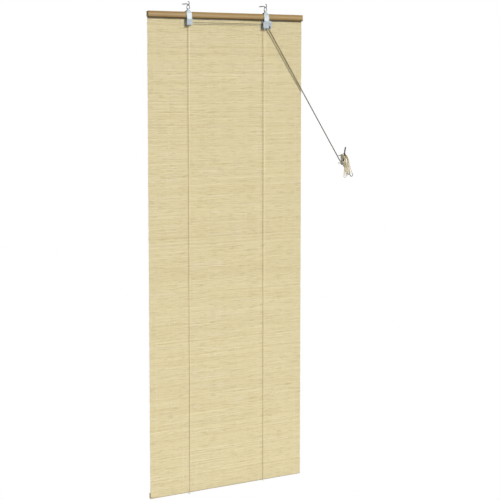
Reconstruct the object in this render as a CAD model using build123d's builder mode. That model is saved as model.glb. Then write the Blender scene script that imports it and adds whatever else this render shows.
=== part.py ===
from build123d import *
import math
import os

# Bamboo roll up blind on two wall hooks, with a cord lock and a wall cleat.
# X runs along the rail, +Y goes into the wall and +Z is up.
# The origin lies on the wall, midway between the two hook shanks. Sizes are in millimetres.

# Whole blind
blind_width = 600.0
blind_drop = 1600.0  # top of the rail to the bottom edge of the mat
hanger_spacing = 300.0
rail_below_shank = 26.0
mat_standoff = 11.0  # wall to the middle of the mat
fit_gap = 0.3  # air beside a cord or a moving piece
overrun = 5.0  # how far a cut runs past the wall that it opens

# Head rail
rail_height = 20.6
front_slat_depth = 8.0
back_slat_depth = 4.0
back_slat_inset = 1.0
slat_chamfer = 1.0

# Rail nails
nail_count = 5
nail_end_distance = 30.0
nail_radius = 0.75
nail_length = 11.0
nail_head_radius = 1.7
nail_head_depth = 0.7

# Reed mat
mat_thickness = 2.0
mat_top_inset = 2.0
ridge_depth = 0.4
gap_count = 100
ridges_per_band = 3
gap_height = 0.8
selvedge_width = 9.0

# Warp threads
thread_count = 12
thread_width = 1.2
thread_depth = 0.4

# Bottom bar
bar_height = 18.0
bar_depth = 5.0
bar_inset = 2.0

# Wall hooks
hook_wire_radius = 1.4
hook_thread_radius = 1.75
hook_thread_length = 22.0
hook_point_length = 4.0
hook_neck_length = 3.0
cup_radius = 6.4
cup_standoff = 15.0
cup_rise = 1.0
hook_bend_radius = 2.4
cup_sweep_degrees = 255.0

# Hanging rings
ring_wire_radius = 1.0
ring_base_width = 13.0
ring_top_width = 5.2
ring_height = 13.2
ring_corner_radius = 2.2
ring_seat_gap = 0.2

# Hanger straps and wheel housings
sheet = 1.2
bend_radius = 2.0
fold_clearance = 0.15
neck_width = 6.0
neck_length = 4.0
strap_width = 19.0
joggle_rise = 17.0  # the strap leaves the rail this far above its lower edge
joggle_length = 20.0
lip_drop = 12.0  # lower edge of the rail to the lip of the back leg
lip_length = 5.4
cheek_standoff = 2.0  # mat to the inner cheek
wheel_room = 8.6  # between the inner cheek and the front plate
axle_drop = 38.5  # top of the rail to the axles
cheek_top_gap = 1.4  # lower edge of the rail to the inner cheek
plate_corner_radius = 3.0

# Left housing
left_plate_width = 21.0
left_plate_margin = 4.8  # axle to the lower edge
left_axle_shift = 5.0  # from the middle of the strap

# Right housing with the lock
right_axle_shift = -2.5
right_plate_margin = 10.2
right_plate_left = 14.5  # middle of the strap to the left edge
right_plate_shoulder = 5.0
right_plate_reach = 25.0  # middle of the strap to the right edge of the inner cheek
pivot_shift = 14.0  # middle of the strap to the pawl pin
pivot_rise = 7.5  # axle to the pawl pin
ear_radius = 4.5

# Wheels, axles and rivets
wheel_cord_radius = 4.0
wheel_flange_radius = 6.0
wheel_side_gap = 0.4
wheel_hub_radius = 3.0
groove_half_floor = 0.9
groove_half_mouth = 1.5
axle_radius = 1.5
running_gap = 0.05
rivet_radius = 1.5
rivet_head_radius = 2.6
rivet_dome_height = 1.0
rivet_tail_height = 0.7
spacer_rise = 9.5  # axle to the spacer rivet
post_radius = 2.0

# Lock pawl
pawl_side_gap = 0.4
pawl_eye_radius = 4.0
tooth_count = 5
tooth_pitch = 1.2
tooth_depth = 0.6
tail_reach = 7.0
tail_drop = 14.0
tail_radius = 3.0

# Strap screws
strap_screw_radius = 1.25
strap_screw_length = 12.0
strap_screw_head_radius = 3.0
strap_screw_head_height = 1.5

# Cleat on the wall
cleat_x = 483.0
cleat_drop = 498.5  # top of the rail to the middle of the cleat
cleat_base_length = 40.0
cleat_base_width = 13.0
cleat_base_depth = 3.0
cleat_stem_length = 14.0
cleat_stem_width = 8.0
cleat_bar_standoff = 13.0
cleat_bar_radius = 2.3
horn_reach = 42.0
horn_lean = 7.0
cleat_screw_spacing = 27.0
cleat_screw_radius = 1.75
cleat_screw_head_radius = 3.4
cleat_screw_length = 28.0
cleat_screw_point = 5.0

# Cords
cord_radius = 0.85
cord_turn_share = 0.98
lead_in = 0.5
knot_radius = 1.8
lip_hole_radius = 1.15
turns_radius = 7.6
turns_start_share = 0.26
turns_end_share = 0.66
turns_middle_share = 0.5
cord_end_drop = 24.0  # middle of the cleat to where the pull cords reach it
cord_bite = 2.2  # how far a pull cord's line runs into the turns, which cut it off
cord_end_standoffs = (12.0, 15.5)  # left cord, right cord, from the wall
hank_top_radius = 5.5
hank_loop_radius = 5.5
hank_depth = 5.0
hank_drop = 59.0  # middle of the cleat to the centres of the lowest loops
hank_start = 3.0
hank_left = -6.0
hank_right = 19.0
hank_edge_radius = 1.5

# Places that follow from the sizes above
rail_top = -rail_below_shank
rail_bottom = rail_top - rail_height
rail_middle = rail_top - rail_height / 2
mat_bottom = rail_top - blind_drop
mat_front = -mat_standoff - mat_thickness / 2
mat_back = -mat_standoff + mat_thickness / 2
rail_front = mat_front - front_slat_depth
rail_back = mat_back + back_slat_depth
half_width = blind_width / 2
left_x = -hanger_spacing / 2
right_x = hanger_spacing / 2
cup_bottom = cup_rise - cup_radius
ring_top = cup_bottom + hook_wire_radius + ring_seat_gap + ring_wire_radius
ring_base = ring_top - ring_height
cheek_back = mat_front - cheek_standoff
cheek_front = cheek_back - sheet
plate_back = cheek_front - wheel_room
plate_front = plate_back - sheet
housing_middle = (cheek_front + plate_back) / 2
axle_z = rail_top - axle_drop
left_axle_x = left_x + left_axle_shift
right_axle_x = right_x + right_axle_shift
wheel_width = (wheel_room - 2 * wheel_side_gap - fit_gap) / 2
back_groove_y = cheek_front - wheel_side_gap - wheel_width / 2
front_groove_y = plate_back + wheel_side_gap + wheel_width / 2
spacer_z = axle_z + spacer_rise
cheek_top = rail_bottom - cheek_top_gap
left_plate_bottom = axle_z - left_plate_margin
right_plate_bottom = axle_z - right_plate_margin
pivot_x = right_x + pivot_shift
pivot_z = axle_z + pivot_rise
lip_bottom = rail_bottom - lip_drop
cleat_z = rail_top - cleat_drop
cord_end_x = cleat_x - turns_radius + cord_bite
cord_end_z = cleat_z - cord_end_drop

# The slanting pull cords leave the right wheels as tangents towards the cleat.
run_across = cord_end_x - right_axle_x
run_down = axle_z - cord_end_z
run_turn = math.atan2(run_across, run_down) - math.asin(wheel_cord_radius / math.hypot(run_across, run_down))
along = Vector(math.sin(run_turn), 0, -math.cos(run_turn))
across = Vector(math.cos(run_turn), 0, math.sin(run_turn))
right_axle = Vector(right_axle_x, 0, axle_z)
corner_shift = wheel_cord_radius * math.tan((math.pi / 2 - run_turn) / 2)
cord_top = axle_z + wheel_cord_radius

# The guide post lies under the slanting cords, clear of the wheels, and the pawl's teeth face it.
post_offset = wheel_cord_radius - cord_radius - fit_gap - post_radius
post_distance = wheel_flange_radius + post_radius + fit_gap
post_along = math.sqrt(post_distance**2 - post_offset**2)
post = right_axle + across * post_offset + along * post_along
tooth_offset = wheel_cord_radius + cord_radius + fit_gap

os.makedirs("parts", exist_ok=True)


def save(piece, name):
    """Label a finished piece and write it as one STEP file."""
    piece.label = name
    export_step(piece, f"parts/{name}.step")


def rivet(x, z, shank_radius, y_back, y_front, waist_radius):
    """A rivet along Y through both plates: flat tail behind, thicker waist between, dome in front."""
    with BuildPart() as piece:
        with BuildSketch(Plane.XY.offset(z)):
            with BuildLine():
                Polyline(
                    (x, y_front - rivet_dome_height),
                    (x, y_back + rivet_tail_height),
                    (x + rivet_head_radius, y_back + rivet_tail_height),
                    (x + rivet_head_radius, y_back),
                    (x + shank_radius, y_back),
                    (x + shank_radius, y_front),
                    (x + rivet_head_radius, y_front),
                )
                TangentArc(
                    (x, y_front - rivet_dome_height),
                    (x + rivet_head_radius, y_front),
                    tangent=(1, 0),
                )
            make_face()
            if waist_radius > shank_radius:
                with Locations((x + waist_radius / 2, (y_back + y_front) / 2)):
                    Rectangle(waist_radius, y_back - y_front - 2 * sheet)
        revolve(axis=Axis((x, 0, z), (0, 1, 0)))
    return piece.part


def wheel(x, y, hub_half_length):
    """A grooved cord wheel that turns about Y, with a hub that keeps it between the cheeks."""
    groove_floor = wheel_cord_radius - cord_radius - fit_gap
    half = wheel_width / 2
    bore = axle_radius + running_gap
    with BuildPart() as piece:
        with BuildSketch(Plane.XY.offset(axle_z)):
            with BuildLine():
                Polyline(
                    (x + bore, y - half),
                    (x + wheel_flange_radius, y - half),
                    (x + wheel_flange_radius, y - groove_half_mouth),
                    (x + groove_floor, y - groove_half_floor),
                    (x + groove_floor, y + groove_half_floor),
                    (x + wheel_flange_radius, y + groove_half_mouth),
                    (x + wheel_flange_radius, y + half),
                    (x + bore, y + half),
                    close=True,
                )
            make_face()
            if hub_half_length > half:
                with Locations((x + (bore + wheel_hub_radius) / 2, y)):
                    Rectangle(wheel_hub_radius - bore, 2 * hub_half_length)
        revolve(axis=Axis((x, 0, axle_z), (0, 1, 0)))
    return piece.part


# Head rail: the front slat, with pilot holes for the nails and the strap screws
nail_z = rail_middle
nail_spacing = (blind_width - 2 * nail_end_distance) / (nail_count - 1)
nail_tip = rail_back - nail_length
screw_tip = rail_back - strap_screw_length
with BuildPart() as front_slat:
    with BuildSketch(Plane.YZ):
        with Locations((rail_front + front_slat_depth / 2, rail_middle)):
            Rectangle(front_slat_depth, rail_height)
        chamfer(vertices().group_by(Axis.X)[0], length=slat_chamfer)
    extrude(amount=half_width, both=True)
    with BuildSketch(Plane.XZ.offset(-nail_tip)):
        with Locations((0, nail_z)):
            with GridLocations(nail_spacing, 0, nail_count, 1):
                Circle(nail_radius)
    extrude(amount=nail_tip - mat_front - overrun, mode=Mode.SUBTRACT)
    with BuildSketch(Plane.XZ.offset(-screw_tip)):
        with Locations((left_x, nail_z), (right_x, nail_z)):
            Circle(strap_screw_radius)
    extrude(amount=screw_tip - mat_front - overrun, mode=Mode.SUBTRACT)
save(front_slat.part, "head_rail")

# Back slat: clamps the top of the mat against the front slat
with BuildPart() as back_slat:
    with BuildSketch(Plane.YZ):
        with Locations((rail_back - back_slat_depth / 2, rail_middle)):
            Rectangle(back_slat_depth, rail_height - 2 * back_slat_inset)
    extrude(amount=half_width, both=True)
    with BuildSketch(Plane.XZ.offset(-rail_back)):
        with Locations((0, nail_z)):
            with GridLocations(nail_spacing, 0, nail_count, 1):
                Circle(nail_radius)
        with Locations((left_x, nail_z), (right_x, nail_z)):
            Circle(strap_screw_radius)
    extrude(amount=back_slat_depth + overrun, both=True, mode=Mode.SUBTRACT)
save(back_slat.part, "back_slat")

# Rail nails: driven from the back, through the mat and into the front slat
with BuildPart() as rail_nails:
    with BuildSketch(Plane.XZ.offset(-rail_back)):
        with Locations((0, nail_z)):
            with GridLocations(nail_spacing, 0, nail_count, 1):
                Circle(nail_radius)
    extrude(amount=nail_length)
    with BuildSketch(Plane.XZ.offset(-rail_back)):
        with Locations((0, nail_z)):
            with GridLocations(nail_spacing, 0, nail_count, 1):
                Circle(nail_head_radius)
    extrude(amount=-nail_head_depth)
save(rail_nails.part, "rail_nails")

# Reed mat: one wall, ridged on both faces by the reeds, with see-through gaps between the bands
band_count = gap_count + 1
ridge_count = band_count * ridges_per_band
mat_top = rail_top - mat_top_inset
ridge_pitch = (rail_bottom - mat_bottom) / ridge_count
valley_front = mat_front + ridge_depth
valley_back = mat_back - ridge_depth
front_edge = [(mat_front, mat_top), (mat_front, rail_bottom)]
back_edge = [(mat_back, mat_top), (mat_back, rail_bottom)]
for reed in range(ridge_count):
    valley_z = rail_bottom - reed * ridge_pitch
    crest_z = valley_z - ridge_pitch / 2
    if reed:
        front_edge.append((valley_front, valley_z))
        back_edge.append((valley_back, valley_z))
    front_edge.append((mat_front, crest_z))
    back_edge.append((mat_back, crest_z))
front_edge.append((valley_front, mat_bottom))
back_edge.append((valley_back, mat_bottom))
gap_length = blind_width - 2 * selvedge_width
gap_pitch = ridge_pitch * ridges_per_band
with BuildPart() as reed_mat:
    with BuildSketch(Plane.YZ):
        with BuildLine():
            Polyline(*front_edge, *reversed(back_edge), close=True)
        make_face()
    extrude(amount=half_width, both=True)
    with BuildSketch(Plane.XZ.offset(mat_standoff)):
        with Locations((0, (rail_bottom + mat_bottom) / 2)):
            with GridLocations(0, gap_pitch, 1, gap_count):
                Rectangle(gap_length, gap_height)
    extrude(amount=mat_thickness, both=True, mode=Mode.SUBTRACT)
    with BuildSketch(Plane.XZ.offset(mat_standoff)):
        with Locations((0, nail_z)):
            with GridLocations(nail_spacing, 0, nail_count, 1):
                Circle(nail_radius)
        with Locations((left_x, nail_z), (right_x, nail_z)):
            Circle(strap_screw_radius)
    extrude(amount=mat_thickness, both=True, mode=Mode.SUBTRACT)
save(reed_mat.part, "reed_mat")

# Warp threads: a stitched row in front and one behind at each place, lying on the crests of the reeds
thread_pitch = blind_width / thread_count
with BuildPart() as warp_threads:
    for face_y, outward in ((mat_front, 1), (mat_back, -1)):
        with BuildSketch(Plane.XZ.offset(-face_y)):
            with Locations((0, (rail_bottom + mat_bottom) / 2)):
                with GridLocations(thread_pitch, 0, thread_count, 1):
                    Rectangle(thread_width, rail_bottom - mat_bottom)
        extrude(amount=outward * thread_depth)
save(warp_threads.part, "warp_threads")

# Bottom bar: a plain slat behind the lower edge, which the mat rolls up on
bar_front = mat_back + thread_depth + fit_gap
bar_bottom = mat_bottom + bar_inset
with BuildPart() as bottom_bar:
    with BuildSketch(Plane.YZ):
        with Locations((bar_front + bar_depth / 2, bar_bottom + bar_height / 2)):
            Rectangle(bar_depth, bar_height)
        chamfer(vertices().group_by(Axis.X)[-1], length=slat_chamfer)
    extrude(amount=half_width, both=True)
save(bottom_bar.part, "bottom_bar")

# Wall hooks: wire that leaves the wall level, bends down into an open cup and curls back at its tip
bend_to_cup = cup_radius + hook_bend_radius
bend_y = -cup_standoff + math.sqrt(bend_to_cup**2 - (hook_bend_radius + cup_rise) ** 2)
meet_degrees = math.degrees(math.atan2(-hook_bend_radius - cup_rise, bend_y + cup_standoff))
for side, x in (("left", left_x), ("right", right_x)):
    with BuildPart() as hook:
        with BuildLine(Plane.YZ.offset(x)) as hook_line:
            Line((0, 0), (bend_y, 0))
            CenterArc((bend_y, -hook_bend_radius), hook_bend_radius, 90, 90 + meet_degrees)
            CenterArc((-cup_standoff, cup_rise), cup_radius, meet_degrees, -cup_sweep_degrees)
        with BuildSketch(Plane.XZ.offset(0)):
            with Locations((x, 0)):
                Circle(hook_wire_radius)
        sweep(path=hook_line.line)
        with Locations(hook_line.line @ 1):
            Sphere(hook_wire_radius)
        with BuildSketch(Plane.XY):
            with BuildLine():
                Polyline(
                    (x, -hook_neck_length),
                    (x + hook_wire_radius, -hook_neck_length),
                    (x + hook_thread_radius, 0),
                    (x + hook_thread_radius, hook_thread_length),
                    (x, hook_thread_length + hook_point_length),
                    close=True,
                )
            make_face()
        revolve(axis=Axis((x, 0, 0), (0, 1, 0)))
    save(hook.part, f"{side}_wall_hook")

# Hanging rings: three-sided wire links that sit in the cups and carry the straps on their lower bars
for side, x in (("left", left_x), ("right", right_x)):
    with BuildPart() as ring:
        with BuildLine(Plane.XZ.offset(cup_standoff)) as ring_line:
            FilletPolyline(
                (x - ring_base_width / 2, ring_base),
                (x + ring_base_width / 2, ring_base),
                (x + ring_top_width / 2, ring_top),
                (x - ring_top_width / 2, ring_top),
                radius=ring_corner_radius,
                close=True,
            )
        with BuildSketch(ring_line.line ^ 0):
            Circle(ring_wire_radius)
        sweep(path=ring_line.line)
    save(ring.part, f"{side}_hanging_ring")

# Hanger straps: one strip each, folded over the ring's bar, with the front plate of the wheel housing
# at the foot of the front leg and a lip for the end of the lift cord at the foot of the back leg
fold_radius = ring_wire_radius + fold_clearance
neck_bottom = ring_base - neck_length
joggle_top = rail_bottom + joggle_rise
joggle_bottom = joggle_top - joggle_length
leg_foot = joggle_bottom - bend_radius
lip_end = rail_back + lip_length
lip_top = lip_bottom + sheet
lip_hole_y = (lip_end + rail_back + sheet) / 2
half_strap = strap_width / 2
half_neck = neck_width / 2
pawl_edge = right_axle + across * tooth_offset + along * post_along
plate_outlines = {
    "left": (
        (left_x - left_plate_width / 2, joggle_bottom),
        (left_x - left_plate_width / 2, left_plate_bottom),
        (left_x + left_plate_width / 2, left_plate_bottom),
        (left_x + left_plate_width / 2, joggle_bottom),
    ),
    "right": (
        (right_x - half_strap, joggle_bottom),
        (right_x - right_plate_left, joggle_bottom - right_plate_shoulder),
        (right_x - right_plate_left, right_plate_bottom),
        (pawl_edge.X - tooth_depth, right_plate_bottom),
        (pivot_x, pivot_z),
        (pivot_x, pivot_z + ear_radius),
        (right_x + half_strap, joggle_bottom),
    ),
}
plate_holes = {
    "left": (
        (left_axle_x, axle_z, axle_radius),
        (left_x, spacer_z, rivet_radius),
    ),
    "right": (
        (right_axle_x, axle_z, axle_radius),
        (right_x, spacer_z, rivet_radius),
        (pivot_x, pivot_z, axle_radius),
        (post.X, post.Z, rivet_radius),
    ),
}
for side, x, name in (("left", left_x, "left_hanger_strap"), ("right", right_x, "right_lock_strap")):
    with BuildPart() as strap:
        with BuildSketch(Plane.YZ.offset(x)):
            with BuildLine():
                FilletPolyline(
                    (plate_back, leg_foot),
                    (plate_back, joggle_bottom),
                    (rail_front, joggle_top),
                    (rail_front, rail_top),
                    (-cup_standoff - fold_radius, neck_bottom),
                    (-cup_standoff - fold_radius, ring_base),
                    radius=bend_radius,
                )
                ThreePointArc(
                    (-cup_standoff - fold_radius, ring_base),
                    (-cup_standoff, ring_base + fold_radius),
                    (-cup_standoff + fold_radius, ring_base),
                )
                FilletPolyline(
                    (-cup_standoff + fold_radius, ring_base),
                    (-cup_standoff + fold_radius, neck_bottom),
                    (rail_back, rail_top),
                    (rail_back, lip_bottom),
                    (lip_end, lip_bottom),
                    radius=bend_radius,
                )
                offset(amount=sheet, side=Side.LEFT)
            make_face()
        extrude(amount=half_strap, both=True)
        with BuildSketch(Plane.XZ):
            with BuildLine():
                Polyline(
                    (x - half_neck, 0),
                    (x - half_neck, neck_bottom),
                    (x - half_strap, rail_top),
                    (x - half_strap, right_plate_bottom),
                    (x + half_strap, right_plate_bottom),
                    (x + half_strap, rail_top),
                    (x + half_neck, neck_bottom),
                    (x + half_neck, 0),
                    close=True,
                )
            make_face()
        extrude(amount=-plate_front, both=True, mode=Mode.INTERSECT)
        with BuildSketch(Plane.XZ.offset(-plate_back)):
            with BuildLine():
                Polyline(*plate_outlines[side], close=True)
            make_face()
            fillet(vertices().group_by(Axis.Y)[0], plate_corner_radius)
            if side == "right":
                with Locations((pivot_x, pivot_z)):
                    Circle(ear_radius)
        extrude(amount=sheet)
        with BuildSketch(Plane.XZ.offset(-plate_back)):
            for hole_x, hole_z, hole_radius in plate_holes[side]:
                with Locations((hole_x, hole_z)):
                    Circle(hole_radius)
        extrude(amount=sheet + overrun, both=True, mode=Mode.SUBTRACT)
        with BuildSketch(Plane.XY.offset(lip_bottom)):
            with Locations((x, lip_hole_y)):
                Circle(lip_hole_radius)
        extrude(amount=sheet + overrun, both=True, mode=Mode.SUBTRACT)
        with BuildSketch(Plane.XZ.offset(-rail_back)):
            with Locations((x, nail_z)):
                Circle(strap_screw_radius)
        extrude(amount=sheet + overrun, both=True, mode=Mode.SUBTRACT)
    save(strap.part, name)

# Inner cheeks: flat back walls of the housings, held to the front plates by the rivets
cheek_edges = {
    "left": (left_x - left_plate_width / 2, left_x + left_plate_width / 2, left_plate_bottom),
    "right": (right_x - right_plate_left, right_x + right_plate_reach, right_plate_bottom),
}
for side, (x_from, x_to, z_from) in cheek_edges.items():
    with BuildPart() as cheek:
        with BuildSketch(Plane.XZ.offset(-cheek_back)):
            with Locations(((x_from + x_to) / 2, (z_from + cheek_top) / 2)):
                RectangleRounded(x_to - x_from, cheek_top - z_from, plate_corner_radius)
            for hole_x, hole_z, hole_radius in plate_holes[side]:
                with Locations((hole_x, hole_z)):
                    Circle(hole_radius, mode=Mode.SUBTRACT)
        extrude(amount=sheet)
    save(cheek.part, f"{side}_inner_cheek")

# Rivets that tie each front plate to its cheek, the axles of the wheels, the guide post and the pawl pin
spacer_pair = [
    rivet(x, spacer_z, rivet_radius, cheek_back, plate_front, rivet_radius)
    for x in (left_x, right_x)
]
save(Compound(children=spacer_pair), "spacer_rivets")
save(rivet(left_axle_x, axle_z, axle_radius, cheek_back, plate_front, axle_radius), "left_axle")
save(rivet(right_axle_x, axle_z, axle_radius, cheek_back, plate_front, axle_radius), "right_axle")
save(rivet(pivot_x, pivot_z, axle_radius, cheek_back, plate_front, axle_radius), "pawl_pin")
save(rivet(post.X, post.Z, rivet_radius, cheek_back, plate_front, post_radius), "guide_post")

# Cord wheels: one on the left, two side by side in the lock
hub_half_length = wheel_room / 2 - wheel_side_gap
save(wheel(left_axle_x, housing_middle, hub_half_length), "left_wheel")
save(wheel(right_axle_x, front_groove_y, wheel_width / 2), "right_front_wheel")
save(wheel(right_axle_x, back_groove_y, wheel_width / 2), "right_back_wheel")

# Lock pawl: hangs on its pin, and its heavier tail keeps the toothed nose on the cords
tooth_start = post_along - tooth_pitch * tooth_count / 2
nose = [right_axle + across * (tooth_offset + tooth_depth) + along * tooth_start]
for tooth in range(tooth_count):
    tip_along = tooth_start + tooth_pitch * (tooth + 1 / 2)
    root_along = tooth_start + tooth_pitch * (tooth + 1)
    nose.append(right_axle + across * tooth_offset + along * tip_along)
    nose.append(right_axle + across * (tooth_offset + tooth_depth) + along * root_along)
with BuildPart() as pawl:
    with BuildSketch(Plane.XZ.offset(-cheek_front + pawl_side_gap)):
        with BuildLine():
            Polyline(
                (pivot_x - pawl_eye_radius, pivot_z),
                *[(point.X, point.Z) for point in nose],
                (pivot_x, pivot_z - pawl_eye_radius),
                (pivot_x + pawl_eye_radius, pivot_z),
                close=True,
            )
        make_face()
        with Locations((pivot_x, pivot_z)):
            Circle(pawl_eye_radius)
        with BuildSketch(mode=Mode.PRIVATE) as tail:
            with Locations((pivot_x, pivot_z)):
                Circle(tail_radius)
            with Locations((pivot_x + tail_reach - tail_radius, pivot_z - tail_drop + tail_radius)):
                Circle(tail_radius)
            make_hull()
        add(tail.sketch)
        with Locations((pivot_x, pivot_z)):
            Circle(axle_radius + running_gap, mode=Mode.SUBTRACT)
    extrude(amount=wheel_room - 2 * pawl_side_gap)
save(pawl.part, "lock_pawl")

# Strap screws: round heads on the back legs, driven through the mat into the front slat
with BuildPart() as strap_screws:
    for x in (left_x, right_x):
        with BuildSketch(Plane.XY.offset(nail_z)):
            head_y = rail_back + sheet
            with BuildLine():
                Polyline(
                    (x, head_y + strap_screw_head_height),
                    (x, screw_tip),
                    (x + strap_screw_radius, screw_tip),
                    (x + strap_screw_radius, head_y),
                    (x + strap_screw_head_radius, head_y),
                )
                TangentArc(
                    (x, head_y + strap_screw_head_height),
                    (x + strap_screw_head_radius, head_y),
                    tangent=(1, 0),
                )
            make_face()
        revolve(axis=Axis((x, 0, nail_z), (0, 1, 0)))
save(strap_screws.part, "strap_screws")

# Cleat: a bent rod with ball tips on a short stem and an oval base
horn_tip_y = -cleat_bar_standoff - horn_lean
cleat_screw_zs = (cleat_z + cleat_screw_spacing / 2, cleat_z - cleat_screw_spacing / 2)
with BuildPart() as cleat:
    with BuildSketch(Plane.XZ):
        with Locations((cleat_x, cleat_z)):
            SlotOverall(cleat_base_length, cleat_base_width, rotation=90)
    extrude(amount=cleat_base_depth)
    with BuildSketch(Plane.XZ):
        with Locations((cleat_x, cleat_z)):
            Ellipse(cleat_stem_width / 2, cleat_stem_length / 2)
    extrude(amount=cleat_bar_standoff)
    with BuildLine(Plane.YZ.offset(cleat_x)) as bar_line:
        ThreePointArc(
            (horn_tip_y, cleat_z + horn_reach),
            (-cleat_bar_standoff, cleat_z),
            (horn_tip_y, cleat_z - horn_reach),
        )
    with BuildSketch(bar_line.line ^ 0):
        Circle(cleat_bar_radius)
    sweep(path=bar_line.line)
    with Locations(bar_line.line @ 0, bar_line.line @ 1):
        Sphere(cleat_bar_radius)
    for screw_z in cleat_screw_zs:
        with BuildSketch(Plane.XY.offset(screw_z)):
            with BuildLine():
                Polyline(
                    (cleat_x, -cleat_base_depth),
                    (cleat_x + cleat_screw_head_radius, -cleat_base_depth),
                    (cleat_x + cleat_screw_radius, 0),
                    (cleat_x, 0),
                    close=True,
                )
            make_face()
        revolve(axis=Axis((cleat_x, 0, screw_z), (0, 1, 0)), mode=Mode.SUBTRACT)
save(cleat.part, "cleat")

# Cleat screws: countersunk wood screws through the base
with BuildPart() as cleat_screws:
    for screw_z in cleat_screw_zs:
        with BuildSketch(Plane.XY.offset(screw_z)):
            with BuildLine():
                Polyline(
                    (cleat_x, -cleat_base_depth),
                    (cleat_x + cleat_screw_head_radius, -cleat_base_depth),
                    (cleat_x + cleat_screw_radius, 0),
                    (cleat_x + cleat_screw_radius, cleat_screw_length - cleat_base_depth - cleat_screw_point),
                    (cleat_x, cleat_screw_length - cleat_base_depth),
                    close=True,
                )
            make_face()
        revolve(axis=Axis((cleat_x, 0, screw_z), (0, 1, 0)))
save(cleat_screws.part, "cleat_screws")

# Lift cords: knotted on the lip, down behind the mat, under its edge and up the front to the wheel
front_run_y = mat_front - thread_depth - fit_gap - cord_radius
turn_radius = (lip_hole_y - front_run_y) / 2
turn_z = mat_bottom - turn_radius
knot_z = lip_top + knot_radius
lift_runs = (
    ("left", left_x, left_axle_x - wheel_cord_radius, housing_middle),
    ("right", right_x, right_axle_x - wheel_cord_radius, front_groove_y),
)
for side, x, wheel_x, wheel_y in lift_runs:
    with BuildPart() as lift_cord:
        with BuildLine() as lift_line:
            FilletPolyline(
                (x, lip_hole_y, knot_z),
                (x, lip_hole_y, turn_z),
                (wheel_x, front_run_y, turn_z),
                (wheel_x, wheel_y, axle_z - lead_in),
                radius=turn_radius * cord_turn_share,
            )
        with BuildSketch(lift_line.line ^ 0):
            Circle(cord_radius)
        sweep(path=lift_line.line)
        with Locations(lift_line.line @ 0):
            Sphere(knot_radius)
    save(lift_cord.part, f"{side}_lift_cord")

# Cord turns: the outer shape of the figure of eight round the roots of both horns
with BuildPart() as cord_turns:
    for sign in (1, -1):
        with BuildLine(mode=Mode.PRIVATE) as horn_line:
            ThreePointArc(
                (cleat_x, horn_tip_y, cleat_z + horn_reach),
                (cleat_x, -cleat_bar_standoff, cleat_z),
                (cleat_x, horn_tip_y, cleat_z - horn_reach),
            )
        horn = horn_line.edges()[0]
        near = horn.position_at(turns_middle_share + sign * turns_start_share / 2)
        far = horn.position_at(turns_middle_share + sign * turns_end_share / 2)
        between = horn.position_at(turns_middle_share + sign * (turns_start_share + turns_end_share) / 4)
        with BuildLine() as turns_line:
            ThreePointArc(near, between, far)
        with BuildSketch(turns_line.line ^ 0):
            Circle(turns_radius)
            Circle(cleat_bar_radius + fit_gap, mode=Mode.SUBTRACT)
        sweep(path=turns_line.line)
save(cord_turns.part, "cord_turns")

# Pull cords: over the wheels and straight down to the turns on the cleat, which cut their ends
left_end_standoff, right_end_standoff = cord_end_standoffs
pull_routes = {
    "left": (
        (left_axle_x - wheel_cord_radius, housing_middle, axle_z - lead_in),
        (left_axle_x - wheel_cord_radius, housing_middle, cord_top),
        (right_axle_x + corner_shift, back_groove_y, cord_top),
        (cord_end_x, -left_end_standoff, cord_end_z),
    ),
    "right": (
        (right_axle_x - wheel_cord_radius, front_groove_y, axle_z - lead_in),
        (right_axle_x - wheel_cord_radius, front_groove_y, cord_top),
        (right_axle_x + corner_shift, front_groove_y, cord_top),
        (cord_end_x, -right_end_standoff, cord_end_z),
    ),
}
for side, route in pull_routes.items():
    with BuildPart() as pull_cord:
        with BuildLine() as pull_line:
            FilletPolyline(*route, radius=wheel_cord_radius * cord_turn_share)
        with BuildSketch(pull_line.line ^ 0):
            Circle(cord_radius)
        sweep(path=pull_line.line)
        add(cord_turns.part, mode=Mode.SUBTRACT)
    save(pull_cord.part, f"{side}_pull_cord")

# Cord hank: the outer shape of the loops that hang in front of the cleat and fan out below
hank_back = -cleat_bar_standoff - horn_lean * turns_end_share**2 - turns_radius - 2 * fit_gap
with BuildPart() as cord_hank:
    with BuildSketch(Plane.XZ.offset(-hank_back)):
        with Locations((cleat_x, cleat_z - hank_start)):
            Circle(hank_top_radius)
        with Locations(*[(cleat_x + shift, cleat_z - hank_drop) for shift in (hank_left, hank_right)]):
            Circle(hank_loop_radius)
        make_hull()
    extrude(amount=hank_depth)
    fillet(edges().group_by(Axis.Y)[0], hank_edge_radius)
    fillet(edges().group_by(Axis.Y)[-1], hank_edge_radius)
save(cord_hank.part, "cord_hank")
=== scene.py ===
"""Looks of a bamboo roll up blind: reed mat, wooden rail, wall hooks, cord wheels, cord lock and wall cleat.

Sizes are in metres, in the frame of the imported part: X along the rail, +Y into the wall, +Z up.
The sections follow the way the blind is put together, from the wall hooks down to the cords.
"""

import math

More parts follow.
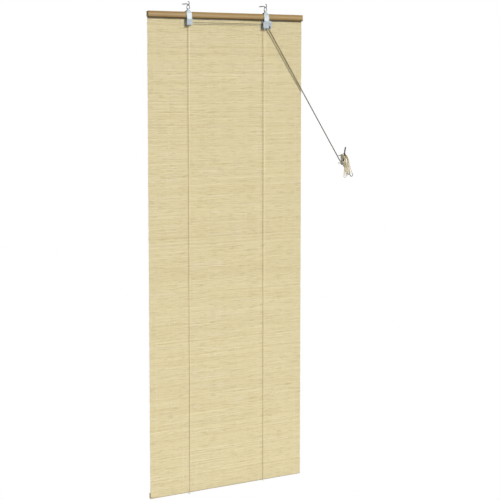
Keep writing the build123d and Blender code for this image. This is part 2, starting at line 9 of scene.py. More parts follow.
import bpy
import numpy as np
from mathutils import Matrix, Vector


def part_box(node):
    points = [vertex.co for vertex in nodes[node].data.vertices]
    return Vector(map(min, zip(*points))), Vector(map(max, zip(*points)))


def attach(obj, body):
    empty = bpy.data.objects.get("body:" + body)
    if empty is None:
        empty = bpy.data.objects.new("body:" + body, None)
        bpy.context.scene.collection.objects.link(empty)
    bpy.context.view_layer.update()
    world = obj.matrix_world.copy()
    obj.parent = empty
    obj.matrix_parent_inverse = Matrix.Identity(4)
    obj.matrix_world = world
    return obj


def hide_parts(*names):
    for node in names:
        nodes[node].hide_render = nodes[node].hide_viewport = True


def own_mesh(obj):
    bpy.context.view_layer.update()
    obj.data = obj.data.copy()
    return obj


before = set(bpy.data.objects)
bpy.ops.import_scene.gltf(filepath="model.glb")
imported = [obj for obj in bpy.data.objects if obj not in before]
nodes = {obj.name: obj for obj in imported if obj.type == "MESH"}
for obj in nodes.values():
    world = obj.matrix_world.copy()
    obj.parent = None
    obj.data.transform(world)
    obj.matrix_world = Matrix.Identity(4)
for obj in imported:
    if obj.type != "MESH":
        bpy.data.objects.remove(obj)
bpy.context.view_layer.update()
FRAME_BODY = "blind_frame"


# Wall hooks: bent from bright plated steel wire. A wood-screw thread is rolled on the straight shank,
# which is screwed into the wall, and the free end is curled into an open cup for the hanging ring.
HOOK_XS = {"left": -0.150, "right": 0.150}
HOOK_WIRE_RADIUS = 0.0014
HOOK_CORE_RADIUS = 0.0012
HOOK_THREAD_RADIUS = 0.00174
HOOK_THREAD_PITCH = 0.0017
HOOK_THREAD_END = 0.022
HOOK_TIP = 0.0258
HOOK_NECK = -0.003
HOOK_BEND_Y = -0.00688
HOOK_BEND_RADIUS = 0.0024
CUP_CENTRE = (-0.015, 0.001)
CUP_RADIUS = 0.0064
CUP_MEET = math.radians(-22.73)
CUP_SWEEP = math.radians(255.0)
HOOK_SIDES = 20
SHANK_RINGS = 170
BEND_RINGS = 16
CUP_RINGS = 70
ROUNDED_RINGS = 4
THREAD_STEEPNESS = 2.4
POINT_SHARE = 0.04
TIP_SHARE = 0.02


def skins(name, grids, tone=None):
    """One mesh from tubes: grids is (tubes, rings, sides, 3), each ring closed, each end closed by one face.

    tone, one number for each tube or for each ring, is kept as the point attribute "tone" for the material.
    """
    tubes, rings, sides = grids.shape[:3]
    index = np.arange(tubes * rings * sides).reshape(tubes, rings, sides)
    here = index[:, :-1]
    there = index[:, 1:]
    quads = np.stack((here, np.roll(here, -1, 2), np.roll(there, -1, 2), there), axis=3)
    faces = quads.reshape(-1, 4).tolist() + index[:, 0, ::-1].tolist() + index[:, -1].tolist()
    mesh = bpy.data.meshes.new(name)
    mesh.from_pydata(grids.reshape(-1, 3).tolist(), [], faces)
    smooth = np.ones(len(faces), dtype=bool)
    smooth[-2 * tubes :] = False
    mesh.polygons.foreach_set("use_smooth", smooth)
    if tone is not None:
        layer = mesh.attributes.new("tone", "FLOAT", "POINT")
        spread_tone = np.broadcast_to(tone.reshape(tubes, -1, 1), (tubes, rings, sides))
        layer.data.foreach_set("value", spread_tone.astype(np.float32).ravel())
    mesh.update()
    piece = bpy.data.objects.new(name, mesh)
    bpy.context.collection.objects.link(piece)
    return piece


def carried(path, radius, side_axis):
    """Grid of a round profile carried along a path.

    The ring at each path point is centre + radius * (cos a * N + sin a * B), where N is side_axis made square
    to the path's direction T, and B is T x N. radius is (rings, sides) or (rings, 1).
    """
    ahead = np.gradient(path, axis=0)
    ahead /= np.linalg.norm(ahead, axis=1, keepdims=True)
    side = np.asarray(side_axis, dtype=float)
    first = side - ahead * (ahead @ side)[:, None]
    first /= np.linalg.norm(first, axis=1, keepdims=True)
    second = np.cross(ahead, first)
    angle = np.linspace(0, 2 * np.pi, radius.shape[1], endpoint=False)
    around = np.cos(angle)[None, :, None] * first[:, None] + np.sin(angle)[None, :, None] * second[:, None]
    return path[:, None] + radius[:, :, None] * around


def arc(centre, radius, start, sweep, count):
    """Points of an arc in the Y-Z plane: centre + radius * (cos, sin) from start through sweep."""
    angle = start + sweep * np.linspace(0, 1, count)
    return np.column_stack((centre[0] + radius * np.cos(angle), centre[1] + radius * np.sin(angle)))


def new_finish(name, colour, roughness, metallic=0.0):
    """A Principled material and its shader node, with the values that are the same all over set on it."""
    finish = bpy.data.materials.new(name)
    finish.use_nodes = True
    shader = finish.node_tree.nodes["Principled BSDF"]
    shader.inputs["Base Color"].default_value = (*colour, 1)
    shader.inputs["Roughness"].default_value = roughness
    shader.inputs["Metallic"].default_value = metallic
    return finish, shader


def add_node(finish, kind, links=None, **values):
    """A shader node: links join its inputs to outputs or give them values, values set its properties."""
    node = finish.node_tree.nodes.new(kind)
    for key, value in values.items():
        setattr(node, key, value)
    for key, source in (links or {}).items():
        if hasattr(source, "is_output"):
            finish.node_tree.links.new(source, node.inputs[key])
        else:
            node.inputs[key].default_value = source
    return node


def stretched(finish, scale):
    """Object coordinates, stretched by a Mapping node."""
    place = add_node(finish, "ShaderNodeTexCoord").outputs["Object"]
    return add_node(finish, "ShaderNodeMapping", {"Vector": place, "Scale": scale}).outputs["Vector"]


def grain(finish, scale, detail=3.0, roughness=0.55):
    """Value of a noise whose size along each axis is one over the scale."""
    links = {"Vector": stretched(finish, scale), "Scale": 1.0, "Detail": detail, "Roughness": roughness}
    return add_node(finish, "ShaderNodeTexNoise", links).outputs["Fac"]


def ramp(finish, value, stops):
    """Colour ramp through (place, colour) stops."""
    node = add_node(finish, "ShaderNodeValToRGB", {"Fac": value})
    elements = node.color_ramp.elements
    while len(elements) < len(stops):
        elements.new(0.5)
    for element, (place, colour) in zip(elements, stops):
        element.position = place
        element.color = (*colour, 1)
    return node.outputs["Color"]


def spread(finish, value, low, high):
    """Value moved from 0..1 to low..high."""
    links = {"Value": value, "To Min": low, "To Max": high}
    return add_node(finish, "ShaderNodeMapRange", links).outputs["Result"]


def blended(finish, factor, first, second, mode="MIX"):
    """Two colours mixed by a factor."""
    node = add_node(finish, "ShaderNodeMix", data_type="RGBA", blend_type=mode)
    for socket, source in (("Factor_Float", factor), ("A_Color", first), ("B_Color", second)):
        target = next(s for s in node.inputs if s.identifier == socket)
        if hasattr(source, "is_output"):
            finish.node_tree.links.new(source, target)
        else:
            target.default_value = source
    return next(s for s in node.outputs if s.identifier == "Result_Color")


def bumped(finish, shader, height, strength, distance):
    """Bump from a height value into the shader's normal."""
    links = {"Height": height, "Strength": strength, "Distance": distance}
    node = add_node(finish, "ShaderNodeBump", links)
    finish.node_tree.links.new(node.outputs["Normal"], shader.inputs["Normal"])


def wire(finish, source, shader, socket):
    """One link into the shader."""
    finish.node_tree.links.new(source, shader.inputs[socket])


bright_steel, shader = new_finish("bright_plated_steel", (0.62, 0.63, 0.63), 0.3, 1.0)
smear = grain(bright_steel, (400, 400, 400))
plating = ramp(bright_steel, smear, [(0.3, (0.20, 0.21, 0.22)), (0.7, (0.36, 0.38, 0.40))])
wire(bright_steel, plating, shader, "Base Color")
wire(bright_steel, spread(bright_steel, smear, 0.22, 0.42), shader, "Roughness")
bumped(bright_steel, shader, grain(bright_steel, (1500, 1500, 1500)), 0.15, 0.0001)

straight = np.linspace(HOOK_TIP, HOOK_BEND_Y, SHANK_RINGS)
bend_centre = (HOOK_BEND_Y, -HOOK_BEND_RADIUS)
hook_yz = np.concatenate(
    (
        np.column_stack((straight, np.zeros_like(straight))),
        arc(bend_centre, HOOK_BEND_RADIUS, math.pi / 2, math.pi / 2 + CUP_MEET, BEND_RINGS)[1:],
        arc(CUP_CENTRE, CUP_RADIUS, CUP_MEET, -CUP_SWEEP, CUP_RINGS)[1:],
    )
)
hook_y = hook_yz[:, :1]
is_shank = np.arange(len(hook_yz))[:, None] < len(straight)
turn = np.linspace(0, 1, HOOK_SIDES, endpoint=False)[None, :] + hook_y / HOOK_THREAD_PITCH
ridge = np.clip(1 - THREAD_STEEPNESS * np.abs(turn % 1.0 - 0.5), 0, 1)
taper = np.clip((HOOK_TIP - hook_y) / (HOOK_TIP - HOOK_THREAD_END), POINT_SHARE, 1)
threaded = taper * (HOOK_CORE_RADIUS + ridge * (HOOK_THREAD_RADIUS - HOOK_CORE_RADIUS))
neck = np.clip((hook_y - HOOK_NECK) / -HOOK_NECK, 0, 1)
hook_radius = np.where(is_shank, HOOK_WIRE_RADIUS + neck * (threaded - HOOK_WIRE_RADIUS), HOOK_WIRE_RADIUS)
from_end = np.arange(len(hook_yz))[::-1, None]
rounding = 1 - (1 - np.clip(from_end / ROUNDED_RINGS, 0, 1)) ** 2
hook_radius = hook_radius * np.sqrt(np.clip(rounding, TIP_SHARE, 1))
for side, x in HOOK_XS.items():
    hook_path = np.column_stack((np.full(len(hook_yz), x), hook_yz))
    hook = skins(f"{side}_screw_hook", carried(hook_path, hook_radius, (1, 0, 0))[None])
    hook.data.materials.append(bright_steel)
    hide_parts(f"{side}_wall_hook")
    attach(hook, FRAME_BODY)


# Hanging rings, hanger straps and wheel housings: the rings are bent from darkened steel wire. The straps and
# cheeks are stamped from zinc plated sheet, riveted together round the wheels. The solids have their shapes.
zinc, shader = new_finish("zinc_plated_sheet", (0.50, 0.55, 0.57), 0.36, 0.3)
spangle = add_node(zinc, "ShaderNodeTexVoronoi", {"Vector": stretched(zinc, (260, 260, 260)), "Scale": 1.0})
rolled = grain(zinc, (60, 900, 900))
mottle = blended(zinc, 0.35, spangle.outputs["Color"], rolled)
sheet_colour = ramp(zinc, mottle, [(0.15, (0.37, 0.43, 0.45)), (0.85, (0.56, 0.615, 0.635))])
wire(zinc, sheet_colour, shader, "Base Color")
wire(zinc, spread(zinc, rolled, 0.28, 0.48), shader, "Roughness")
bumped(zinc, shader, rolled, 0.12, 0.0001)
ZINC_NODES = (
    "left_hanger_strap right_lock_strap left_inner_cheek right_inner_cheek "
    "spacer_rivets left_axle right_axle pawl_pin guide_post"
).split()


def clothe(names, finish):
    """Gives solids of the frame one finish in place of their plain one."""
    for name in names:
        nodes[name].data.materials.clear()
        nodes[name].data.materials.append(finish)


clothe(ZINC_NODES, zinc)

ring_wire, shader = new_finish("darkened_ring_wire", (0.11, 0.11, 0.12), 0.38, 0.8)
scuffed = grain(ring_wire, (500, 500, 500))
darkened = ramp(ring_wire, scuffed, [(0.3, (0.06, 0.06, 0.065)), (0.7, (0.16, 0.165, 0.17))])
wire(ring_wire, darkened, shader, "Base Color")
wire(ring_wire, spread(ring_wire, scuffed, 0.3, 0.5), shader, "Roughness")
clothe(("left_hanging_ring", "right_hanging_ring"), ring_wire)


# Nails and screws: the nails and the round-headed strap screws are bright steel, driven from behind, through
# the back slat and the mat into the front slat. The cleat's countersunk screws are zinc plated, and go into
# the wall.
clothe(("rail_nails", "strap_screws"), bright_steel)
clothe(("cleat_screws",), zinc)


# Head rail: two planed slats of brown varnished wood, which clamp the top of the mat between them.
# The edges are eased by hand, so the faces wave a little along their length.
RAIL_EDGE = 0.0011
FACE_WAVE = 0.0002
WAVE_RATES = np.array((7.0, 17.0, 41.0))
SLAT_RINGS = 90
SLAT_SHARES = (0.005, 0.995)
EASED_SHARES = np.array((0, 0.0006, 0.0018))
EASED_INSETS = np.array((1.0, 0.4, 0))
CORNER_POINTS = 6
rng = np.random.default_rng(4)


def slat(name, node, edge, wave):
    """A slat in the node's box, its section a rounded rectangle carried along X.

    The section is the box less the edge radius plus a circle of that radius, and a slow sum of cosines of X
    draws its four faces in by up to wave. The last rings at each end are drawn in to ease the end grain.
    """
    low, high = (np.array(corner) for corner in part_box(node))
    middle, half = (low + high) / 2, (high - low) / 2
    share = np.concatenate((EASED_SHARES, np.linspace(*SLAT_SHARES, SLAT_RINGS), 1 - EASED_SHARES[::-1]))
    inset = edge * np.interp(np.minimum(share, 1 - share), EASED_SHARES, EASED_INSETS)
    angle = np.concatenate([np.linspace(a, a + np.pi / 2, CORNER_POINTS) for a in np.arange(4) * np.pi / 2])
    round_y, round_z = np.cos(angle), np.sin(angle)
    along = low[0] + share * (high[0] - low[0])
    phases = rng.uniform(0, 2 * np.pi, (4, len(WAVE_RATES)))
    sway = np.cos(along[:, None, None] * WAVE_RATES + phases).mean(axis=2) * wave
    reach_y = half[1] - edge - inset[:, None] - np.abs(np.where(round_y > 0, sway[:, :1], sway[:, 1:2]))
    reach_z = half[2] - edge - inset[:, None] - np.abs(np.where(round_z > 0, sway[:, 2:3], sway[:, 3:]))
    y = middle[1] + np.sign(round_y.round(6) + 1e-9) * reach_y + edge * round_y
    z = middle[2] + np.sign(round_z.round(6) + 1e-9) * reach_z + edge * round_z
    grid = np.stack((np.broadcast_to(along[:, None], y.shape), y, z), axis=2)
    return skins(name, grid[None])


def varnished(name, node, tones):
    """Wood in three tones, with grain along X. A dark strip along its lower edge is painted shadow, and a greyer
    strip runs along its upper edge.
    """
    finish, shader = new_finish(name, tones[1], 0.42)
    low_z, high_z = (corner[2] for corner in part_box(node))
    band = grain(finish, (4, 130, 150), 4.0)
    fibre = grain(finish, (24, 900, 1400), 5.0, 0.65)
    pore = grain(finish, (40, 1500, 2600), 2.0)
    tone = ramp(finish, band, list(zip((0.28, 0.5, 0.72), tones)))
    fleck = ramp(finish, fibre, [(0.3, (0.66, 0.60, 0.53)), (0.62, (1.0, 1.0, 1.0))])
    pores = ramp(finish, pore, [(0.30, (0.45, 0.38, 0.32)), (0.36, (1.0, 1.0, 1.0))])
    toned = blended(finish, 0.8, tone, fleck, "MULTIPLY")
    grained = blended(finish, 0.6, toned, pores, "MULTIPLY")
    place = add_node(finish, "ShaderNodeTexCoord").outputs["Object"]
    height = add_node(finish, "ShaderNodeSeparateXYZ", {"Vector": place}).outputs["Z"]
    ends = {"Value": height, "From Min": low_z, "From Max": high_z}
    climb = add_node(finish, "ShaderNodeMapRange", ends).outputs["Result"]
    clear = (1.0, 1.0, 1.0)
    # Painted shadow: the lowest strip is darkened as the shadow line under the slat. The top strip is greyer.
    edges = [(0.06, (0.20, 0.15, 0.11)), (0.14, clear), (0.93, clear), (0.98, (0.62, 0.60, 0.50))]
    lower_shadow_and_top_strip = ramp(finish, climb, edges)
    wire(finish, blended(finish, 1.0, grained, lower_shadow_and_top_strip, "MULTIPLY"), shader, "Base Color")
    wire(finish, spread(finish, fibre, 0.34, 0.56), shader, "Roughness")
    shader.inputs["Coat Weight"].default_value = 0.15
    shader.inputs["Coat Roughness"].default_value = 0.3
    bumped(finish, shader, fibre, 0.35, 0.0003)
    return finish


RAIL_TONES = ((0.264, 0.160, 0.051), (0.319, 0.204, 0.068), (0.374, 0.253, 0.093))
rail_wood = varnished("brown_varnished_wood", "head_rail", RAIL_TONES)
for name, node in (("rail_front_slat", "head_rail"), ("rail_back_slat", "back_slat")):
    rail = slat(name, node, RAIL_EDGE, FACE_WAVE)
    rail.data.materials.append(rail_wood)
    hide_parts(node)
    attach(rail, FRAME_BODY)


# Reed mat: about eight hundred thin split reeds of raw bamboo, laid side by side from edge to edge.
# Each differs a little in tone, thickness and length, and the lowest is browner. The threads below hold them.
REED_PITCH = 0.00202
REED_SIDES = 6
REED_RINGS = 8
REED_HALF_DEPTH = 0.00092
REED_HALF_HEIGHT = 0.00103
REED_UNEVEN = 0.08
REED_WANDER = 0.00007
REED_LEAN = 0.00012
REED_CUT = 0.0016
mat_low, mat_high = (np.array(corner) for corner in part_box("reed_mat"))
mat_y = (mat_low[1] + mat_high[1]) / 2
reed_count = round((mat_high[2] - mat_low[2]) / REED_PITCH)
reed_pitch = (mat_high[2] - mat_low[2]) / reed_count
MAT_HELD_Z = -0.0466


def reeds(count, rings):
    """Grids of all reeds: six-sided sticks along X, one below the other.

    Reed i lies at depth (i + 1/2) * pitch below the top of the mat. Its half height and half depth vary along
    X by about REED_UNEVEN of themselves, it wanders up and down by about REED_WANDER, it stands forward or
    back by about REED_LEAN, and each end is cut short by up to REED_CUT.
    """
    depth = (np.arange(count) + 0.5)[:, None, None] * reed_pitch
    share = np.linspace(0, 1, rings)[None, :, None]
    cut = rng.uniform(0, REED_CUT, (count, 2))
    start = mat_low[0] + cut[:, 0, None, None]
    x = start + share * (mat_high[0] - cut[:, 1, None, None] - start)
    thick = 1 + REED_UNEVEN * rng.standard_normal((count, rings, 1)).clip(-1.5, 1.5)
    wander = REED_WANDER * rng.standard_normal((count, rings, 1)).clip(-2, 2)
    lean = REED_LEAN * rng.standard_normal((count, 1, 1)).clip(-1.5, 1.5)
    angle = (np.arange(REED_SIDES) * 2 * np.pi / REED_SIDES + np.pi / 6)[None, None, :]
    y = mat_y + lean + REED_HALF_DEPTH * thick * np.cos(angle)
    z = mat_high[2] - depth + wander + REED_HALF_HEIGHT * thick * np.sin(angle)
    z = np.clip(z, mat_low[2], mat_high[2])
    return np.stack(np.broadcast_arrays(x, y, z), axis=3)


reed_tone = rng.standard_normal(reed_count)
reed_tone = 0.02 + 0.98 / (1 + np.exp(-reed_tone))
reed_tone[-1] = 0
mat = skins("split_reed_mat", reeds(reed_count, REED_RINGS), reed_tone)
mat.data.polygons.foreach_set("use_smooth", np.zeros(len(mat.data.polygons), dtype=bool))

STREAKS_PER_METRE = 26.0
LOT_SPREAD = 900.0
split_reed, shader = new_finish("raw_split_reed", (0.72, 0.62, 0.39), 0.62)
lot = add_node(split_reed, "ShaderNodeAttribute", attribute_name="tone").outputs["Fac"]
place = add_node(split_reed, "ShaderNodeTexCoord").outputs["Object"]
across = add_node(split_reed, "ShaderNodeSeparateXYZ", {"Vector": place}).outputs["X"]
links = {0: across, 1: STREAKS_PER_METRE}
along_reed = add_node(split_reed, "ShaderNodeMath", links, operation="MULTIPLY").outputs[0]
own_lot = add_node(split_reed, "ShaderNodeMath", {0: lot, 1: LOT_SPREAD}, operation="MULTIPLY").outputs[0]
reed_place = add_node(split_reed, "ShaderNodeCombineXYZ", {"X": along_reed, "Y": own_lot}).outputs["Vector"]
links = {"Vector": reed_place, "Scale": 1.0, "Detail": 2.0}
streak = add_node(split_reed, "ShaderNodeTexNoise", links, noise_dimensions="2D").outputs["Fac"]
fibre = grain(split_reed, (30, 2200, 3000), 3.0)
reed_tones = [
    (0.01, (0.36, 0.27, 0.14)),
    (0.05, (0.633, 0.541, 0.318)),
    (0.45, (0.677, 0.594, 0.366)),
    (0.95, (0.711, 0.635, 0.404)),
]
reed_colour = ramp(split_reed, lot, reed_tones)
streak_tones = [(0.25, (0.83, 0.80, 0.71)), (0.45, (1.0, 1.0, 1.0)), (0.8, (1.04, 1.04, 1.05))]
streak_colour = ramp(split_reed, streak, streak_tones)
streaked = blended(split_reed, 0.9, reed_colour, streak_colour, "MULTIPLY")
fibre_colour = ramp(split_reed, fibre, [(0.3, (0.86, 0.83, 0.76)), (0.6, (1.0, 1.0, 1.0))])
wire(split_reed, blended(split_reed, 0.6, streaked, fibre_colour, "MULTIPLY"), shader, "Base Color")
wire(split_reed, spread(split_reed, streak, 0.5, 0.72), shader, "Roughness")
bumped(split_reed, shader, fibre, 0.3, 0.0002)
mat.data.materials.append(split_reed)
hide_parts("reed_mat")
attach(mat, FRAME_BODY)
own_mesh(mat)


# Warp threads: undyed cotton, two to a column. They pass each other between the reeds, so that every reed has
# one thread in front and one behind, and every stitch of a column shows on one face or the other.
THREAD_RADIUS = 0.00042
THREAD_SIDES = 4
THREAD_STANDOFF = 0.7
THREAD_SWAY = 0.9
THREAD_XS = np.linspace(-0.275, 0.275, 12)
held_reeds = math.ceil((mat_high[2] - MAT_HELD_Z) / reed_pitch)
thread_depth = np.arange(2 * (reed_count - held_reeds) + 1) * reed_pitch / 2
thread_top = mat_low[2] + thread_depth[-1]


def stitched(sign):
    """Paths of one thread of each column: at depth d, Y follows sin(pi d / pitch) and X cos(pi d / pitch).

    So the thread is on one face at each reed, and beside its fellow where the two pass between the reeds.
    """
    swing = np.sin(np.pi * thread_depth / reed_pitch)
    sway = np.cos(np.pi * thread_depth / reed_pitch)
    y = mat_y + sign * swing * (REED_HALF_DEPTH + THREAD_STANDOFF * THREAD_RADIUS)
    x = THREAD_XS[:, None] + sign * sway * THREAD_SWAY * THREAD_RADIUS
    z = thread_top - thread_depth
    return np.stack(np.broadcast_arrays(x, y, z), axis=2)


cotton, shader = new_finish("undyed_cotton_thread", (0.80, 0.73, 0.55), 0.85)
fuzz = grain(cotton, (2500, 2500, 2500))
thread_colour = ramp(cotton, fuzz, [(0.3, (0.74, 0.665, 0.465)), (0.7, (0.88, 0.825, 0.64))])
wire(cotton, thread_colour, shader, "Base Color")
shader.inputs["Sheen Weight"].default_value = 0.3
bumped(cotton, shader, fuzz, 0.4, 0.0002)
for name, sign in (("leading_threads", 1), ("following_threads", -1)):
    lines = stitched(sign)
    thread_radius = np.full((len(thread_depth), THREAD_SIDES), THREAD_RADIUS)
    tubes = np.stack([carried(line, thread_radius, (1, 0, 0)) for line in lines])
    threads = skins(name, tubes)
    threads.data.materials.append(cotton)
    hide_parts("warp_threads")
    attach(threads, FRAME_BODY)
    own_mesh(threads)


# Bottom bar: a plain slat of pale varnished bamboo, glued behind the lowest reeds. The mat rolls up on it.
# Its ends are cut square, and its edges are eased like the rail's.
BAR_TONES = ((0.46, 0.37, 0.19), (0.54, 0.44, 0.24), (0.61, 0.51, 0.29))
bar = slat("bottom_bar_slat", "bottom_bar", RAIL_EDGE, FACE_WAVE)
# The finish paints the same shadow strip along the bar's lower edge as on the rail.
bar.data.materials.append(varnished("pale_varnished_bamboo", "bottom_bar", BAR_TONES))
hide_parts("bottom_bar")
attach(bar, "bottom_bar")


# Cord wheels and lock pawl: the wheels are moulded in dark plastic and turn on the axle rivets. The pawl is
# cast in zinc alloy, and hangs on its pin so that its teeth lie on the cords.
wheel_plastic, shader = new_finish("dark_moulded_plastic", (0.03, 0.03, 0.03), 0.45)
cloud = grain(wheel_plastic, (300, 300, 300))
moulded = ramp(wheel_plastic, cloud, [(0.3, (0.020, 0.019, 0.017)), (0.7, (0.045, 0.042, 0.038))])
wire(wheel_plastic, moulded, shader, "Base Color")
wire(wheel_plastic, spread(wheel_plastic, cloud, 0.38, 0.55), shader, "Roughness")
clothe(("left_wheel", "right_front_wheel", "right_back_wheel"), wheel_plastic)

cast_zinc, shader = new_finish("cast_zinc_alloy", (0.60, 0.60, 0.64), 0.5, 1.0)
pitted = grain(cast_zinc, (700, 700, 700), 4.0)
cast_colour = ramp(cast_zinc, pitted, [(0.3, (0.46, 0.46, 0.50)), (0.7, (0.66, 0.66, 0.70))])
wire(cast_zinc, cast_colour, shader, "Base Color")
bumped(cast_zinc, shader, pitted, 0.3, 0.0002)
clothe(("lock_pawl",), cast_zinc)


# Cleat: a dark steel rod bent outwards at both ends, with rounded tips, on a short stem and an oval base of
# pale zinc alloy. The rod's finish ends where the stem begins behind it.
STEM_FROM_Y = (-0.0104, -0.0102)
dark_steel, shader = new_finish("dark_steel_rod", (0.07, 0.07, 0.075), 0.4, 0.6)
worn = grain(dark_steel, (260, 260, 260), 4.0)
rod_colour = ramp(dark_steel, worn, [(0.35, (0.045, 0.045, 0.05)), (0.75, (0.15, 0.15, 0.155))])
foot_colour = ramp(dark_steel, worn, [(0.35, (0.74, 0.70, 0.58)), (0.75, (0.86, 0.83, 0.72))])
place = add_node(dark_steel, "ShaderNodeTexCoord").outputs["Object"]
outward = add_node(dark_steel, "ShaderNodeSeparateXYZ", {"Vector": place}).outputs["Y"]
ends = {"Value": outward, "From Min": STEM_FROM_Y[0], "From Max": STEM_FROM_Y[1]}
on_foot = add_node(dark_steel, "ShaderNodeMapRange", ends).outputs["Result"]
wire(dark_steel, blended(dark_steel, on_foot, rod_colour, foot_colour), shader, "Base Color")
wire(dark_steel, spread(dark_steel, worn, 0.3, 0.55), shader, "Roughness")
bumped(dark_steel, shader, worn, 0.15, 0.0002)
clothe(("cleat",), dark_steel)


# Lift cords: twisted cream cord of three strands. Each is knotted on the lip of its strap, runs down behind
# the mat, round its lower edge, and up the front to its wheel. Only the lengths beyond the wheels are drawn
# darker.
CORD_RADIUS = 0.00085
CORD_DIAMETER = 2 * CORD_RADIUS
CORD_LAY = 0.0075
CORD_STEP = 0.001
CORD_SIDES = 9
STRANDS = 3
STRAND_SWELL = 0.1
KNOT_STRAND = 0.0007
KNOT_POINTS = 60
KNOT_SIDES = 8
KNOT_GAP = 0.02
LIP_KNOT_REACH = 0.0013
LIP_KNOT_RISE = 0.0002
STUB_RINGS = 12
STUB_SHARE = 0.85
LONG_RUN_STEPS = 256
LIP_Y = -0.0027
LIP_KNOT_Z = -0.0556
WHEEL_LEAD_Z = -0.0650


def smooth_route(points, steps=48):
    """Points a cord step apart along the NURBS spline of order 3 with the route's points as controls."""
    curve = bpy.data.curves.new("route", "CURVE")
    curve.dimensions = "3D"
    spline = curve.splines.new("NURBS")
    spline.points.add(len(points) - 1)
    spline.points.foreach_set("co", np.column_stack((points, np.ones(len(points)))).ravel())
    spline.order_u = 3
    spline.use_endpoint_u = True
    spline.resolution_u = steps
    holder = bpy.data.objects.new("route", curve)
    mesh = bpy.data.meshes.new_from_object(holder)
    line = np.empty(3 * len(mesh.vertices))
    mesh.vertices.foreach_get("co", line)
    line = line.reshape(-1, 3)
    bpy.data.objects.remove(holder)
    bpy.data.curves.remove(curve)
    bpy.data.meshes.remove(mesh)
    gone = np.concatenate(([0], np.cumsum(np.linalg.norm(np.diff(line, axis=0), axis=1))))
    even = np.linspace(0, gone[-1], round(gone[-1] / CORD_STEP) + 1)
    return np.column_stack([np.interp(even, gone, line[:, axis]) for axis in range(3)]), gone[-1]


def twisted(name, path, side_axis, darkening):
    """A cord of three strands along a path.

    Its radius is r * (1 + STRAND_SWELL * cos(3 * (a - 2 pi s / lay))) at the angle a and the length s along
    it. The last argument, from 0 to 1 at each path point, goes to the material, which mixes in a dark colour by
    it.
    """
    angle = np.linspace(0, 2 * np.pi, CORD_SIDES, endpoint=False)
    run = np.arange(len(path)) * CORD_STEP
    phase = STRANDS * (angle[None, :] - 2 * np.pi * run[:, None] / CORD_LAY)
    radius = CORD_RADIUS * (1.0 + STRAND_SWELL * np.cos(phase))
    return skins(name, carried(path, radius, side_axis)[None], darkening)


def overhand(name, centre, reach):
    """A knot: a tube along the trefoil (sin t + 2 sin 2t, -sin 3t, cos t - 2 cos 2t) * reach / 3."""
    t = np.linspace(KNOT_GAP, 2 * np.pi - KNOT_GAP, KNOT_POINTS)
    trefoil = np.column_stack((np.sin(t) + 2 * np.sin(2 * t), -np.sin(3 * t), np.cos(t) - 2 * np.cos(2 * t)))
    path = np.asarray(centre) + trefoil * reach / 3
    return skins(name, carried(path, np.full((KNOT_POINTS, KNOT_SIDES), KNOT_STRAND), (0, 1, 0))[None])


cord_fibre, shader = new_finish("twisted_cream_cord", (0.80, 0.73, 0.55), 0.8)
strand = grain(cord_fibre, (1100, 1100, 1100), 4.0)
faded = grain(cord_fibre, (25, 25, 25))
strand_colour = ramp(cord_fibre, strand, [(0.3, (0.72, 0.61, 0.38)), (0.7, (0.95, 0.87, 0.63))])
faded_colour = ramp(cord_fibre, faded, [(0.35, (0.86, 0.85, 0.80)), (0.65, (1.0, 1.0, 1.0))])
clean_colour = blended(cord_fibre, 0.7, strand_colour, faded_colour, "MULTIPLY")
# A dark colour mixed in by the tone attribute: it draws the cord darker beyond the wheels and on its loops, and
# paints shade on the loops' feet.
dark_cord_and_shade_colour = ramp(cord_fibre, strand, [(0.3, (0.045, 0.041, 0.018)), (0.7, (0.095, 0.087, 0.044))])
darkness_and_shade = add_node(cord_fibre, "ShaderNodeAttribute", attribute_name="tone").outputs["Fac"]
wire(cord_fibre, blended(cord_fibre, darkness_and_shade, clean_colour, dark_cord_and_shade_colour), shader, "Base Color")
shader.inputs["Sheen Weight"].default_value = 0.25
bumped(cord_fibre, shader, strand, 0.4, 0.0002)


def fibre_piece(piece):
    """Gives a piece of cord its finish and body."""
    piece.data.materials.append(cord_fibre)
    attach(piece, FRAME_BODY)


EDGE_TURN_Z = -1.631425
EDGE_NEAR_Z = -1.6212
FRONT_RUN_Y = -0.01355
LIFT_RUNS = {"left": (-0.150, -0.149, -0.0195), "right": (0.150, 0.1435, -0.021525)}
for side, (lip_x, wheel_x, wheel_y) in LIFT_RUNS.items():
    lift_points = np.array(
        (
            (lip_x, LIP_Y, LIP_KNOT_Z),
            (lip_x, LIP_Y, EDGE_NEAR_Z),
            (lip_x, LIP_Y, EDGE_TURN_Z),
            (wheel_x, FRONT_RUN_Y, EDGE_TURN_Z),
            (wheel_x, FRONT_RUN_Y, EDGE_NEAR_Z),
            (wheel_x, wheel_y, WHEEL_LEAD_Z),
        )
    )
    lift_path, lift_length = smooth_route(lift_points, LONG_RUN_STEPS)
    lift_cord = twisted(f"{side}_twisted_lift_cord", lift_path, (1, 0, 0), np.zeros(len(lift_path)))
    fibre_piece(lift_cord)
    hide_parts(f"{side}_lift_cord")
    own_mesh(lift_cord)
    knot = overhand(f"{side}_lip_knot", (lip_x, LIP_Y, LIP_KNOT_Z + LIP_KNOT_RISE), LIP_KNOT_REACH)
    fibre_piece(knot)
    stub_foot = (lip_x, LIP_Y, WHEEL_LEAD_Z - CORD_DIAMETER)
    stub_path = np.linspace((lip_x, LIP_Y, LIP_KNOT_Z), stub_foot, STUB_RINGS)
    stub_radius = np.full((STUB_RINGS, CORD_SIDES), STUB_SHARE * CORD_RADIUS)
    stub = skins(f"{side}_knot_stub", carried(stub_path, stub_radius, (1, 0, 0))[None])
    fibre_piece(stub)


